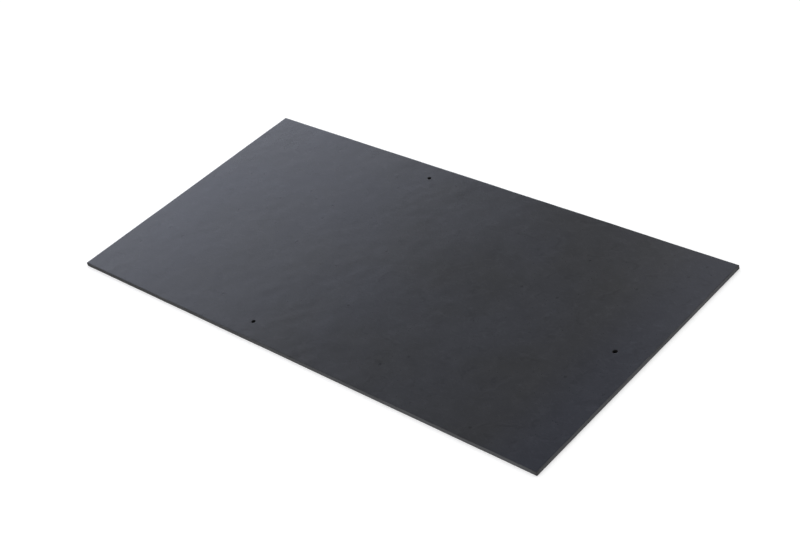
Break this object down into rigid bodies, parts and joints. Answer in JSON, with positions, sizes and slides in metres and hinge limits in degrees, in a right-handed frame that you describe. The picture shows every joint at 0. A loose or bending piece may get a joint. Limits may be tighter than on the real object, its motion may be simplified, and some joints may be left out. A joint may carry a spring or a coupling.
{
  "type": "fibre cement slate",
  "caption": "Flat rectangular fibre cement roofing slate in a dark blue-grey coat, with nail holes near its sides and a rivet hole at its tail.",
  "frame": {"origin": "centre of the underside", "axes": "+X runs down the roof slope, from the head of the slate to its tail with the rivet hole; +Y runs across the slate; +Z points out of the weather face"},
  "size_m": [0.6, 0.3, 0.0045],
  "materials": {
    "coated_fibre_cement": "satin"
  },
  "bodies": {
    "root": {"slate": "coated_fibre_cement"}
  },
  "joints": []
}
